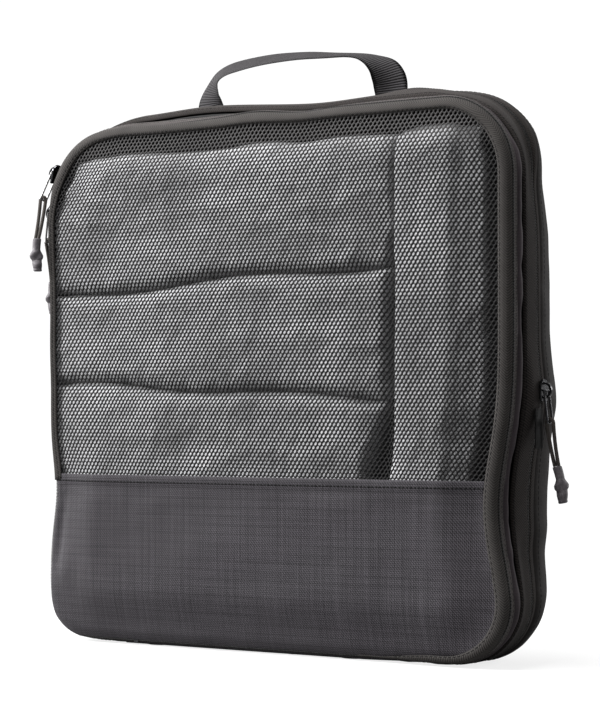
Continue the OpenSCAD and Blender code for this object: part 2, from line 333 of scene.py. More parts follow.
def cloth(name, rows, thickness, body, material, closed=True, back=None, shade=None):
    """A closed sheet: rows[k][i] are points across (k) and along (i), thickened inwards.
    shade, if given, holds painted shade: how light the material paints the cloth at each point, darker where
    it would lie in shade."""
    p = np.asarray(rows, float)
    under = p - grid_normals(p, closed) * thickness if back is None else np.asarray(back, float)
    mid = p[len(p) // 2]
    step = np.linalg.norm(np.diff(np.r_[mid, mid[:1]], axis=0), axis=1)
    u = np.r_[0, np.cumsum(step)] * MM
    v = np.r_[0, np.cumsum(np.linalg.norm(np.diff(p, axis=0), axis=2).mean(1))] * MM
    verts = np.concatenate([p.reshape(-1, 3), under.reshape(-1, 3)])
    me = mesh_of(name, verts, *sheet_faces(*p.shape[:2], u, v, closed))
    # painted shade, carried to the material as a point attribute; the back gets the darker back value
    if shade is not None:
        layer = me.attributes.new("shade", "FLOAT", "POINT")
        values = np.r_[shade.ravel(), np.full(shade.size, BACK_PAINTED_SHADE)]
        layer.data.foreach_set("value", values.astype(np.float32))
    return finish_piece(me, body, material)


def frames_along(path, spacing, closed=True):
    """Points every spacing along a path, with unit tangents."""
    pts = np.r_[path, path[:1]] if closed else path
    step = np.linalg.norm(np.diff(pts, axis=0), axis=1)
    s = np.r_[0, np.cumsum(step)]
    count = max(int(s[-1] / spacing), 2)
    at = (np.arange(count) + 0.5) * s[-1] / count
    q, ahead = (np.stack([np.interp(place, s, pts[:, c]) for c in range(3)], 1)
                for place in (at, (at + 0.5) % s[-1]))
    return q, unit(ahead - q)


def scatter(name, centres, x_axis, y_axis, z_axis, verts, faces, body, material):
    """Copies of one small shape at many frames, as one mesh."""
    v = np.asarray(verts, float)
    world = (centres[:, None] + v[None, :, 0:1] * x_axis[:, None]
             + v[None, :, 1:2] * y_axis[:, None] + v[None, :, 2:3] * z_axis[:, None])
    offset = np.arange(len(centres))[:, None] * len(v)
    all_faces = [[int(n) + int(o) for n in f] for o in offset[:, 0] for f in faces]
    return finish_piece(mesh_of(name, world.reshape(-1, 3), all_faces), body, material)


def capsule(length, radius, squash):
    """A small spindle along X, flattened in Z."""
    verts, faces = [(-length / 2, 0, 0), (length / 2, 0, 0)], []
    for s in (-0.36, 0.36):
        for k in range(6):
            a = math.pi * k / 3
            verts.append((s * length, radius * math.cos(a), radius * squash * math.sin(a)))
    for k in range(6):
        n = (k + 1) % 6
        faces += [(0, 2 + n, 2 + k), (1, 8 + k, 8 + n), (2 + k, 2 + n, 8 + n, 8 + k)]
    return verts, faces


def block(length, width, height, taper):
    """A small bar along Y with narrowed ends."""
    l, w, h = length / 2, width / 2, height / 2
    verts = [
        (sx * l * (taper if sy else 1), sy * w * (1 if sy else 0.5), sz * h * (0.6 if sy else 1))
        for sy in (-1, 0, 1) for sz in (-1, 1) for sx in (-1, 1)
    ]
    faces = []
    for r in (0, 4):
        faces += [(r, r + 1, r + 5, r + 4), (r + 1, r + 3, r + 7, r + 5),
                  (r + 3, r + 2, r + 6, r + 7), (r + 2, r, r + 4, r + 6)]
    return verts, faces + [(0, 2, 3, 1), (8, 9, 11, 10)]


def rings(specs):
    return [outline(*s) for s in specs]


def refine(rows, times):
    """Smooth rows across the band by Catmull-Rom, so that a few rings give a round profile."""
    p = np.asarray(rows, float)
    ext = np.concatenate([2 * p[:1] - p[1:2], p, 2 * p[-1:] - p[-2:-1]])
    out = []
    for k in range(len(p) - 1):
        a, b, c, d = ext[k:k + 4]
        for t in np.arange(times) / times:
            out.append(0.5 * (2 * b + (c - a) * t + (2 * a - 5 * b + 4 * c - d) * t ** 2
                              + (3 * b - a - 3 * c + d) * t ** 3))
    out.append(p[-1])
    return np.array(out)


# ---- materials


class Nodes:
    """A short way to build a node material."""

    def __init__(self, name, roughness=0.8, specular=0.3, sheen=0.0, metallic=0.0, coat=0.0):
        self.material = bpy.data.materials.new(name)
        self.material.use_nodes = True
        self.tree = self.material.node_tree
        self.bsdf = self.tree.nodes["Principled BSDF"]
        for socket, value in (("Roughness", roughness), ("Specular IOR Level", specular),
                              ("Metallic", metallic), ("Coat Weight", coat),
                              ("Sheen Weight", sheen), ("Sheen Roughness", 0.45)):
            self.bsdf.inputs[socket].default_value = value

    def node(self, kind, **settings):
        n = self.tree.nodes.new("ShaderNode" + kind)
        for key, value in settings.items():
            setattr(n, key, value)
        return n

    def link(self, a, b):
        self.tree.links.new(a, b)

    def position(self):
        return self.node("TexCoord").outputs["Object"]

    def cloth_uv(self):
        return self.node("UVMap", uv_map="cloth").outputs["UV"]

    def axes(self, vector):
        n = self.node("SeparateXYZ")
        self.link(vector, n.inputs[0])
        return n.outputs

    def math(self, op, a, b=None, c=None):
        n = self.node("Math", operation=op)
        for socket, value in zip(n.inputs, (a, b, c)):
            if value is None:
                continue
            if isinstance(value, (int, float)):
                socket.default_value = value
            else:
                self.link(value, socket)
        return n.outputs[0]

    def weighted(self, *parts):
        """The sum of (value, weight) pairs."""
        total = None
        for value, weight in parts:
            part = self.math("MULTIPLY", value, weight)
            total = part if total is None else self.math("ADD", total, part)
        return total

    def map_range(self, value, source, target, kind="LINEAR"):
        """Take value from the source range to the target range."""
        n = self.node("MapRange", interpolation_type=kind)
        self.link(value, n.inputs["Value"])
        n.inputs["From Min"].default_value, n.inputs["From Max"].default_value = source
        n.inputs["To Min"].default_value, n.inputs["To Max"].default_value = target
        return n.outputs[0]

    def stripes(self, value, period, sharp=1.0):
        """0 to 1 ridges every period metres along value."""
        s = self.math("SINE", self.math("MULTIPLY", value, 2 * math.pi / period))
        ridges = self.math("MULTIPLY_ADD", s, 0.5, 0.5)
        return self.math("POWER", ridges, sharp) if sharp != 1.0 else ridges

    def noise(self, vector, scale, detail=3.0, rough=0.55):
        n = self.node("TexNoise")
        self.link(vector, n.inputs["Vector"])
        n.inputs["Scale"].default_value = scale
        n.inputs["Detail"].default_value = detail
        n.inputs["Roughness"].default_value = rough
        return n.outputs["Fac"]

    def colour(self, value, dark, light, low=0.0, high=1.0):
        ramp = self.node("ValToRGB")
        for stop, place, shade in zip(ramp.color_ramp.elements, (low, high), (dark, light)):
            stop.position, stop.color = place, (*shade, 1)
        self.link(value, ramp.inputs[0])
        self.link(ramp.outputs[0], self.bsdf.inputs["Base Color"])

    def relief(self, *heights):
        """Bumps one on top of another: (height socket, distance in metres, strength). They are
        the last touch, so this gives back the material."""
        normal = None
        for height, distance, strength in heights:
            n = self.node("Bump")
            n.inputs["Distance"].default_value = distance
            n.inputs["Strength"].default_value = strength
            self.link(height, n.inputs["Height"])
            if normal is not None:
                self.link(normal, n.inputs["Normal"])
            normal = n.outputs[0]
        self.link(normal, self.bsdf.inputs["Normal"])
        return self.material


RIPSTOP_GRID = 0.0052  # metres between the thick threads of the ripstop


def ripstop_material():
    """Twill with streaks along both threads and a faint ripstop grid."""
    m = Nodes("ripstop_nylon", roughness=0.7, specular=0.16, sheen=0.03)
    place = m.position()
    x, _, z = m.axes(place)
    twill = m.stripes(m.weighted((x, 1.0), (z, 0.9)), 0.0017)
    weave = m.math("MULTIPLY", m.stripes(x, 0.0011), m.stripes(z, 0.0011))
    stretched = []
    for scale in ((900, 60, 16), (16, 60, 900)):
        n = m.node("VectorMath", operation="MULTIPLY")
        m.link(place, n.inputs[0])
        n.inputs[1].default_value = scale
        stretched.append(m.noise(n.outputs[0], 1.0, 3, 0.6))
    streaks = m.weighted((stretched[0], 0.42), (stretched[1], 0.3))
    grid = m.math("MAXIMUM", m.stripes(x, RIPSTOP_GRID, 10.0), m.stripes(z, RIPSTOP_GRID, 10.0))
    tone = m.weighted((twill, 0.34), (weave, 0.3), (streaks, 1.0), (grid, -0.07))
    m.colour(tone, (0.0060, 0.0055, 0.0066), (0.0700, 0.0635, 0.0725), 0.34, 0.96)
    return m.relief((m.noise(place, 40, 4), 0.0012, 0.35), (streaks, 0.0002, 0.5),
                    (m.math("ADD", weave, twill), 0.00015, 0.8))


HERRINGBONE_WIDTH = 0.0052  # metres from one turn of the herringbone to the next


def tape_material(name, dark, light):
    """Zip tape: a herringbone of fine ribs, woven along the band."""
    m = Nodes(name, roughness=0.85, specular=0.1, sheen=0.03)
    u, v, _ = m.axes(m.cloth_uv())
    fold = m.math("PINGPONG", v, HERRINGBONE_WIDTH)
    ribs = m.stripes(m.weighted((u, 1.0), (fold, 0.9)), 0.0015)
    fine = m.stripes(v, 0.0006)
    tone = m.weighted((ribs, 0.46), (fine, 0.12), (m.noise(m.position(), 60, 3), 0.34))
    m.colour(tone, dark, light, 0.05, 0.9)
    return m.relief((ribs, 0.0002, 0.7), (fine, 0.00008, 0.5))


def nylon_material(name, dark, light, crinkle=0.5):
    """Plain weave with soft crinkles."""
    m = Nodes(name, roughness=0.66, specular=0.16, sheen=0.03)
    x, y, z = m.axes(m.position())
    weave = m.math("MULTIPLY", m.stripes(m.math("ADD", x, y), 0.0008), m.stripes(z, 0.0008))
    soft = m.noise(m.position(), 26, 4)
    tone = m.weighted((weave, 0.3), (soft, 0.7))
    m.colour(tone, dark, light, 0.15, 0.85)
    return m.relief((soft, 0.004, crinkle), (weave, 0.0001, 0.6))


def webbing_material():
    m = Nodes("grosgrain_webbing", roughness=0.75, specular=0.15, sheen=0.04)
    u, v, _ = m.axes(m.cloth_uv())
    ribs = m.stripes(u, 0.0014)
    edge = m.stripes(v, 0.0009)
    tone = m.weighted((ribs, 0.6), (edge, 0.12), (m.noise(m.position(), 120, 2), 0.25))
    m.colour(tone, (0.006, 0.0055, 0.006), (0.0425, 0.0395, 0.0425), 0.05, 0.95)
    return m.relief((ribs, 0.0004, 0.9), (edge, 0.0001, 0.4))


def net_material():
    m = Nodes("net_thread", roughness=0.6, specular=0.08)
    x, _, z = m.axes(m.position())
    twist = m.stripes(m.math("ADD", x, z), 0.0005)
    tone = m.weighted((twist, 0.16), (m.noise(m.position(), 400, 2), 0.14))
    # painted light: the threads are paler along the top edge, standing in for top light and sheen on them
    # there
    painted_top_light = m.map_range(z, (0.284, 0.302), (0.0, 0.7), "SMOOTHSTEP")
    m.colour(m.math("ADD", tone, painted_top_light), (0.0030, 0.0030, 0.0034), (0.068, 0.066, 0.066), 0.0, 1.0)
    return m.relief((twist, 0.00008, 0.6))


def garment_material():
    """A knit with painted shade: it darkens in the hollows between the garments."""
    m = Nodes("knitted_cotton", roughness=0.95, specular=0.1, sheen=0.3)
    x, _, z = m.axes(m.position())
    knit = m.math("MULTIPLY", m.stripes(x, 0.0016), m.stripes(z, 0.0012))
    soft = m.noise(m.position(), 18, 4)
    tone = m.weighted((knit, 0.25), (soft, 0.75))
    # painted shade in the hollows, read from the cloth's shade attribute
    painted_hollow_shade = m.node("Attribute", attribute_name="shade").outputs["Fac"]
    m.colour(m.math("MULTIPLY", tone, painted_hollow_shade), (0.010, 0.010, 0.011), (0.42, 0.42, 0.43), 0.0, 0.62)
    return m.relief((soft, 0.012, 0.8), (knit, 0.0003, 0.6))


def plain_material(name, dark, light, roughness=0.7, specular=0.12, scale=900, depth=0.0001, strength=0.5):
    """Fine speckle, for thread and for zip teeth."""
    m = Nodes(name, roughness=roughness, specular=specular)
    tone = m.noise(m.position(), scale, 2)
    m.colour(tone, dark, light, 0.3, 0.7)
    return m.relief((tone, depth, strength))


def metal_material(name, dark, light, rough):
    m = Nodes(name, roughness=rough, specular=0.6, metallic=0.9, coat=0.3)
    worn = m.noise(m.position(), 350, 4, 0.7)
    m.colour(worn, dark, light, 0.35, 0.75)
    m.link(m.map_range(worn, (0, 1), (rough * 0.7, rough * 1.5)), m.bsdf.inputs["Roughness"])
    return m.relief((worn, 0.00005, 0.3))


def rubber_material():
    m = Nodes("rubber_sleeve", roughness=0.62, specular=0.4)
    grain = m.noise(m.position(), 700, 3)
    m.colour(grain, (0.060, 0.054, 0.060), (0.115, 0.104, 0.113), 0.3, 0.7)
    return m.relief((grain, 0.0002, 0.4))


def cord_material():
    """A braid of two crossing spirals."""
    m = Nodes("braided_cord", roughness=0.75, specular=0.15)
    x, y, z = m.axes(m.position())
    turn = m.math("ADD", x, y)
    left, right = (m.stripes(m.math(op, z, turn), 0.0011) for op in ("ADD", "SUBTRACT"))
    braid = m.math("MAXIMUM", left, right)
    m.colour(braid, (0.016, 0.014, 0.013), (0.075, 0.066, 0.060), 0.2, 1.0)
    return m.relief((braid, 0.0002, 0.8))


RIPSTOP = ripstop_material()
TAPE = tape_material("zip_tape_weave", (0.0065, 0.0058, 0.0055), (0.066, 0.061, 0.058))
# painted light: a paler copy of the zip tape, lifting the frame tape out of the front tape's shade
TAPE_PAINTED_LIGHT = tape_material("frame_tape_weave_painted_light", (0.010, 0.0090, 0.0088), (0.098, 0.088, 0.086))
TAPE_REAR = tape_material("rear_tape_weave", (0.0045, 0.0038, 0.0036), (0.050, 0.044, 0.042))
NYLON = nylon_material("shell_nylon", (0.01, 0.0086, 0.0082), (0.0309, 0.0273, 0.0264))
PIPING = nylon_material("gusset_nylon", (0.018, 0.0145, 0.0165), (0.082, 0.067, 0.075), 0.3)
LINING = nylon_material("lining_nylon", (0.0036, 0.0036, 0.0036), (0.01, 0.0095, 0.01), 0.3)
WEBBING = webbing_material()
NET = net_material()
GARMENT = garment_material()
THREAD = plain_material("sewing_thread", (0.0027, 0.0027, 0.0027), (0.01, 0.0095, 0.01))
PALE_THREAD = plain_material("zip_thread", (0.0182, 0.0168, 0.0159), (0.0591, 0.0555, 0.0523))
GUNMETAL = metal_material("gunmetal", (0.020, 0.020, 0.022), (0.085, 0.085, 0.092), 0.16)
STEEL = metal_material("plated_wire", (0.16, 0.16, 0.16), (0.46, 0.45, 0.44), 0.4)
RUBBER = rubber_material()
CORD = cord_material()
TOOTH = (0.5, 0.2, 500, 0.00005, 0.4)  # roughness, specular, and the speckle's scale, depth, strength
COIL = plain_material("zip_coil_nylon", (0.0015, 0.0014, 0.0013), (0.005, 0.0047, 0.0045), *TOOTH)
PALE_COIL = plain_material("zip_coil_sewn", (0.009, 0.0085, 0.008), (0.026, 0.024, 0.023), *TOOTH)


# ---- camera, light, floor


def aim(o, target):
    direction = Vector(target) - o.location
    o.rotation_euler = direction.to_track_quat("-Z", "Y").to_euler()


def make_camera():
    """A long lens to the right of the front, looking slightly up."""
    yaw, pitch, distance = math.radians(33.54), math.radians(1.61), 1.281
    data = bpy.data.cameras.new("camera")
    data.sensor_width = 36
    data.lens = 113.7
    data.clip_start, data.clip_end = 0.05, 50
    cam = new_object("camera", data)
    forward = Vector((-math.sin(yaw) * math.cos(pitch), math.cos(yaw) * math.cos(pitch), math.sin(pitch)))
    target = Vector((0.0236, FRONT_PLANE * MM, 0.174))
    cam.location = target - forward * distance
    cam.rotation_mode = "QUATERNION"
    cam.rotation_quaternion = forward.to_track_quat("-Z", "Y")
    bpy.context.scene.camera = cam


def area_light(name, place, target, size, power):
    data = bpy.data.lights.new(name, "AREA")
    data.shape = "RECTANGLE"
    data.size, data.size_y = size
    data.energy = power
    o = new_object(name, data)
    o.location = place
    aim(o, target)


WORLD_LIGHT, WORLD_SEEN = 0.34, 1.05  # how bright the white world lights, and how bright it is seen


def make_studio():
    """A white world, brighter to the camera than as a light, with four soft lamps."""
    scene = bpy.context.scene
    scene.view_settings.view_transform = "Standard"
    world = bpy.data.worlds.new("studio")
    scene.world = world
    world.use_nodes = True
    tree = world.node_tree
    background = tree.nodes["Background"]
    background.inputs["Color"].default_value = (1, 1, 1, 1)
    path = tree.nodes.new("ShaderNodeLightPath")
    strength = tree.nodes.new("ShaderNodeMapRange")
    strength.inputs["To Min"].default_value = WORLD_LIGHT
    strength.inputs["To Max"].default_value = WORLD_SEEN
    tree.links.new(path.outputs["Is Camera Ray"], strength.inputs["Value"])
    tree.links.new(strength.outputs[0], background.inputs["Strength"])
    area_light("key", (-1.8, -1.42, 1.2), (0, 0, 0.16), (0.8, 0.8), 122)
    area_light("top", (-0.2, -0.35, 1.5), (0, 0, 0.25), (1.0, 0.7), 34)
    area_light("left", (-1.7, -0.1, 0.5), (0, 0, 0.2), (0.6, 1.1), 15)
    area_light("rear_right", (1.15, 1.45, 0.7), (0.1, 0, 0.16), (0.5, 0.9), 14)
    make_floor()


FLOOR_R, FLOOR_POINTS, FLOOR_DROP = 0.8, 64, 0.0004  # metres, except the points on its rim
FLOOR_BASE, FLOOR_GLOW = 0.23, 0.80  # its grey, and its glow towards the camera
FLOOR_FADE = (0.22, 0.5)  # metres from the origin between which it fades out


def make_floor():
    """A sheet that glows towards the camera and fades out, so that it passes for white."""
    me = bpy.data.meshes.new("floor")
    turns = [2 * math.pi * k / FLOOR_POINTS for k in range(FLOOR_POINTS)]
    rim = [(FLOOR_R * math.cos(a), FLOOR_R * math.sin(a), -FLOOR_DROP) for a in turns]
    me.from_pydata(rim, [], [list(range(FLOOR_POINTS))])
    floor = new_object("floor", me)
    m = Nodes("floor_white", roughness=1.0, specular=0.0)
    m.bsdf.inputs["Base Color"].default_value = (FLOOR_BASE, FLOOR_BASE, FLOOR_BASE, 1)
    m.bsdf.inputs["Emission Color"].default_value = (1, 1, 1, 1)
    m.link(m.math("MULTIPLY", m.node("LightPath").outputs["Is Camera Ray"], FLOOR_GLOW),
           m.bsdf.inputs["Emission Strength"])
    x, y, _ = m.axes(m.position())
    reach = m.math("SQRT", m.math("ADD", m.math("MULTIPLY", x, x), m.math("MULTIPLY", y, y)))
    m.link(m.map_range(reach, FLOOR_FADE, (1.0, 0.0), "SMOOTHSTEP"), m.bsdf.inputs["Alpha"])
    me.materials.append(m.material)


# ---- front panel

NET_PITCH, NET_ROW = 2.8, 2.2  # from one cell to the next, across and up
NET_ROWS, NET_COLUMNS = 97, 118
CELL, HOLE = (NET_PITCH / 2, 0.4, 1.8), (0.80, 0.22, 1.12)  # half width, half side and tip
HOLE_SLANT = 0.36
NET_GAUGE = 0.3  # half the thickness of its threads


def hexagon(half_width, side, tip):
    """Corners of an upright hexagon."""
    return np.array([(half_width, side), (0, tip), (-half_width, side),
                     (-half_width, -side), (0, -tip), (half_width, -side)])


def net_cells():
    """Centres of the cells, out to just under the zip tape."""
    half = NET_COLUMNS // 2
    centres = np.array([((c + 0.5 * (r % 2)) * NET_PITCH, SEAM_Z - 3.2 + r * NET_ROW)
                        for r in range(NET_ROWS) for c in range(-half, half)])
    return centres[inside_distance(centres[:, 0], centres[:, 1], *BORDER[:6]) > -2.4]


def on_panel(xz, offset):
    return np.c_[xz[:, 0], panel_y(xz[:, 0], xz[:, 1]) + offset, xz[:, 1]]


def make_net_half(name, cells):
    """Threads between the ridges, where cells meet, and the edges of their holes."""
    opening = hexagon(*HOLE)
    opening[:, 0] += HOLE_SLANT * opening[:, 1]
    ridge = (cells[:, None] + hexagon(*CELL)).reshape(-1, 2)
    hole = (cells[:, None] + opening).reshape(-1, 2)
    _, first, index = np.unique(np.round(ridge * 50).astype(int), axis=0,
                                return_index=True, return_inverse=True)
    ridge, index = ridge[first], index.reshape(-1, 6)
    verts = np.concatenate([on_panel(ridge, -NET_GAUGE), on_panel(ridge, NET_GAUGE), on_panel(hole, 0.0)])
    n = len(ridge)
    h = 2 * n + np.arange(len(cells) * 6).reshape(-1, 6)
    faces = []
    for k in range(6):
        j = (k + 1) % 6
        faces.append(np.c_[index[:, k], h[:, k], h[:, j], index[:, j]])
        faces.append(np.c_[index[:, k] + n, index[:, j] + n, h[:, j], h[:, k]])
    o = finish_piece(mesh_of(name, settle(verts), np.concatenate(faces)), "front_panel", NET)
    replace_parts(o, "mesh_panel")
    o.visible_shadow = False  # so that the clothes are as bright behind the net as without it


def make_net():
    """Hexagonal net as real threads, in two halves."""
    centres = net_cells()
    make_net_half("net_left", centres[centres[:, 0] < 0])
    make_net_half("net_right", centres[centres[:, 0] >= 0])


PANEL_LEFT, PANEL_RIGHT, PANEL_BOTTOM = 163.2, 154.2, 1.6
PANEL_LEFT_R, PANEL_RIGHT_R = 33.0, 34.0
TAPER = (60.0, 118.0)  # where the front zip tape comes out from under the lower panel
FAR = 400  # stands for a side on which the panel has no edge
HINGE_HALF_WIDTH, HINGE_REAR_Y = 108, -22.0


def panel_point(u, nominal_z):
    """A point of the lower panel; u runs from its left edge to its right edge."""
    def inset(r):
        drop = np.clip(PANEL_BOTTOM + r - nominal_z, 0, r)
        return r - np.sqrt(np.maximum(r * r - drop * drop, 0))

    left = -(PANEL_LEFT - inset(PANEL_LEFT_R))
    right = PANEL_RIGHT - inset(PANEL_RIGHT_R)
    x = left + (right - left) * u
    lift = 3.2 * rise(x, *TAPER)
    z = nominal_z + lift * (SEAM_Z - nominal_z) / (SEAM_Z - PANEL_BOTTOM)
    edge = inside_distance(x, z, FAR, PANEL_LEFT, PANEL_BOTTOM, FAR, PANEL_LEFT_R, PANEL_LEFT_R)
    fold = 4.2 * (1 - np.clip(edge / 9, 0, 1)) ** 2
    y = panel_y(x, z) - 0.5 + fold
    return np.stack([x, y, z], -1)


def make_lower_panel():
    """The ripstop panel, soft and crowned, with a tuck down its left edge."""
    nominal = SEAM_Z - (SEAM_Z - PANEL_BOTTOM) * np.linspace(0, 1, 74) ** 0.92
    u = 0.5 - 0.5 * np.cos(np.pi * (0.06 + 0.88 * np.linspace(0, 1, 190)))
    u = (u - u[0]) / (u[-1] - u[0])
    p = panel_point(*np.meshgrid(u, nominal))
    x, z = p[..., 0], p[..., 2]
    soft = wrinkle(p, 38, 3.0) * 0.9 + wrinkle(p, 14, 8.0) * 0.22
    tuck = 1.3 * bump(x, -152, 4) * rise(z, 96, 76) * rise(z, 30, 60)
    pillow = 2.0 * bump(x, -147, 8) * bump(z, 44, 15)
    p[..., 1] += (soft + tuck - pillow) * rise(z, SEAM_Z - 4, SEAM_Z - 14)
    o = cloth("lower_front_panel", settle(p), 0.7, "front_panel", RIPSTOP, closed=False)
    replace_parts(o, "lower_panel", "panel_seam_tape")
    make_hinge_fold(p[-1])
    make_panel_hem()


def make_hinge_fold(panel_edge):
    """Along the hinge the panel's cloth carries on under the body."""
    under = panel_edge[np.abs(panel_edge[:, 0]) < HINGE_HALF_WIDTH]
    t = np.linspace(0, 1, 7)[:, None, None]
    far_edge = np.stack([under[:, 0], np.full(len(under), HINGE_REAR_Y), np.full(len(under), 0.9)], -1)
    rows = under * (1 - t) + far_edge * t
    rows[..., 2] = np.maximum(rows[..., 2] - 0.9 * np.sin(np.pi * t[..., 0]), 0.15)
    o = cloth("hinge_fold", settle(rows), 0.6, None, RIPSTOP, closed=False)
    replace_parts(o, "hinge_strip")
    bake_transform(o)


# height above the seam and how far it stands out, across the folded hem
HEM = [(1.4, 0.0), (0.9, 0.22), (-0.6, 0.32), (-3.4, 0.26), (-5.4, 0.1), (-6.0, -0.1)]


def make_panel_hem():
    """The folded hem that holds the net, and its topstitching."""
    u = np.linspace(0.004, 0.996, 190)

    def along(height, out):
        return panel_point(u, np.full_like(u, SEAM_Z + height)) - np.array([0, out, 0])

    rows = np.array([along(*h) for h in HEM])
    cloth("panel_hem", settle(rows), 0.5, "front_panel", RIPSTOP, closed=False)
    stitches = settle(along(-2.8, 0.5))
    stitch_row("hem_stitches", stitches, "front_panel", closed=False, spacing=2.5, radius=0.42)


# ---- stitches, zips and side bands


def stitch_row(name, path, body, closed=True, spacing=3.0, material=None, radius=0.3):
    """Stitches along a path, lying flat on the cloth that faces away from the body's middle."""
    q, t = frames_along(path, spacing, closed)
    out = q - np.array([0.0, 5.0, 160.0])
    out[:, 1] = np.where(q[:, 1] < FRONT_PLANE + 1.5, -400, out[:, 1])
    n = square_to(t, out)
    verts, faces = capsule(spacing * 0.74, radius, 0.6)
    return scatter(name, q, t, np.cross(n, t), n, verts, faces, body, material or THREAD)


TOOTH_PITCH = 0.9


def chain(name, node, front, back, body, material, phase, proud):
    """Every other tooth between two tape edges, from number phase on. The teeth stand proud of
    the tapes, except down the left side and near the floor."""
    q, t = frames_along((front + back) / 2, TOOTH_PITCH)
    across = square_to(t, np.array([0.0, 1.0, 0.0]))
    n = np.cross(across, t)
    stand = proud * rise(q[:, 0], -120, -40) * rise(q[:, 2], 8, 28)
    q, t, across, n = (part[phase::2] for part in (q + n * stand[:, None], t, across, n))
    verts, faces = block(TOOTH_PITCH * 0.85, 2.4, 1.4, 0.6)
    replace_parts(scatter(name, q, t, across, n, verts, faces, body, material), node)


FINE = 4  # rows from one ring of a tape to the next


def make_front_tapes():
    """Both tapes of the front zip, their teeth and their stitches."""
    a_rows = refine(rings(TAPE_A), FINE)
    # the tape comes out from under the lower panel along the bottom edge
    first = int(np.argmax(a_rows[-1][:BOTTOM_N, 0] >= TAPER[0]))
    left_start = BOTTOM_N + 3 * CORNER_N + SIDE_N + TOP_N
    last = left_start + int(np.argmax(a_rows[0][left_start:, 2] <= SEAM_Z - 3))
    show = rise(a_rows[-1][:, 0], *TAPER)
    show[BOTTOM_N + CORNER_N:] = 1.0
    a_rows = settle(a_rows[-1] + (a_rows - a_rows[-1]) * show[None, :, None])
    o = cloth("front_zip_tape", a_rows[:, first:last], 0.9, "front_panel", TAPE, closed=False)
    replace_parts(o, "main_tape_lid", "lid_seam_binding")
    b_rows = settle(refine(rings(TAPE_B), FINE))
    # the frame tape gets the paler, painted-light copy of the tape
    o = cloth("frame_zip_tape", b_rows, 0.9, "front_frame", TAPE_PAINTED_LIGHT)
    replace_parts(o, "main_tape_frame")
    edges = (a_rows[-1], b_rows[2 * FINE])
    chain("front_zip_teeth", "main_coil_lid", *edges, "front_panel", COIL, 0, 1.1)
    chain("frame_zip_teeth", "main_coil_frame", *edges, "front_frame", PALE_COIL, 1, 0.9)
    near = (a_rows[-2] * 0.7 + a_rows[-1] * 0.3)[first + 4:last]
    sewn = {"spacing": 1.8, "material": PALE_THREAD, "radius": 0.24}
    stitch_row("front_tape_stitches", a_rows[2][first + 12:last], "front_panel", closed=False)
    stitch_row("front_coil_stitches", near, "front_panel", closed=False, **sewn)
    stitch_row("frame_coil_stitches", b_rows[3 * FINE], "front_frame", **sewn)
    stitch_row("frame_tape_stitches", b_rows[-4], "front_frame", radius=0.22)


def make_side_bands():
    """The gusset strip between the zips, and the compression zip."""
    strip = settle(refine(rings(STRIP), FINE))
    crumple = wrinkle(strip, 20, 5.0) * 1.5 + wrinkle(strip, 8, 9.0) * 0.5
    strip += grid_normals(strip, True) * crumple[..., None]
    o = cloth("gusset_piping", strip, 0.8, "front_frame", PIPING)
    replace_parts(o, "front_gusset")

    c_rows, d_rows = (settle(refine(rings(tape), FINE)) for tape in (TAPE_C, TAPE_D))
    for name, node, rows, body in (
        ("compression_tape_c", "compression_tape_front", c_rows, "front_frame"),
        ("compression_tape_d", "compression_tape_rear", d_rows, "rear_shell"),
    ):
        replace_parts(cloth(name, rows, 0.9, body, TAPE_REAR), node)
    edges = (c_rows[-1], d_rows[0])
    chain("compression_teeth_c", "compression_coil_front", *edges, "front_frame", COIL, 0, 0.1)
    chain("compression_teeth_d", "compression_coil_rear", *edges, "rear_shell", PALE_COIL, 1, 0.0)
    sewn = {"spacing": 1.9, "material": PALE_THREAD, "radius": 0.16}
    stitch_row("tape_c_stitches", c_rows[FINE], "front_frame")
    stitch_row("tape_c_coil_stitches", c_rows[-6], "front_frame", **sewn)
    stitch_row("tape_d_coil_stitches", d_rows[6], "rear_shell", **sewn)


BACK_SEAM_ROW = 13  # the row of the rear body where band and back panel are sewn together


def tube_of(name, path, shift, radius, body, material):
    """A soft cord sewn along a closed path."""
    centre = path + shift
    t = unit(np.roll(centre, -1, 0) - np.roll(centre, 1, 0))
    a = square_to(t, unit(shift))
    b = np.cross(t, a)
    n, sides = len(path), 10
    angle = 2 * np.pi * np.arange(sides) / sides
    verts = np.concatenate([centre + radius * (np.cos(g) * a + np.sin(g) * b) for g in angle])
    i = np.arange(n)
    j = (i + 1) % n
    faces = []
    for k in range(sides):
        here, there = k * n, (k + 1) % sides * n
        faces.append(np.c_[here + i, here + j, there + j, there + i])
    finish_piece(mesh_of(name, verts, np.concatenate(faces)), body, material)


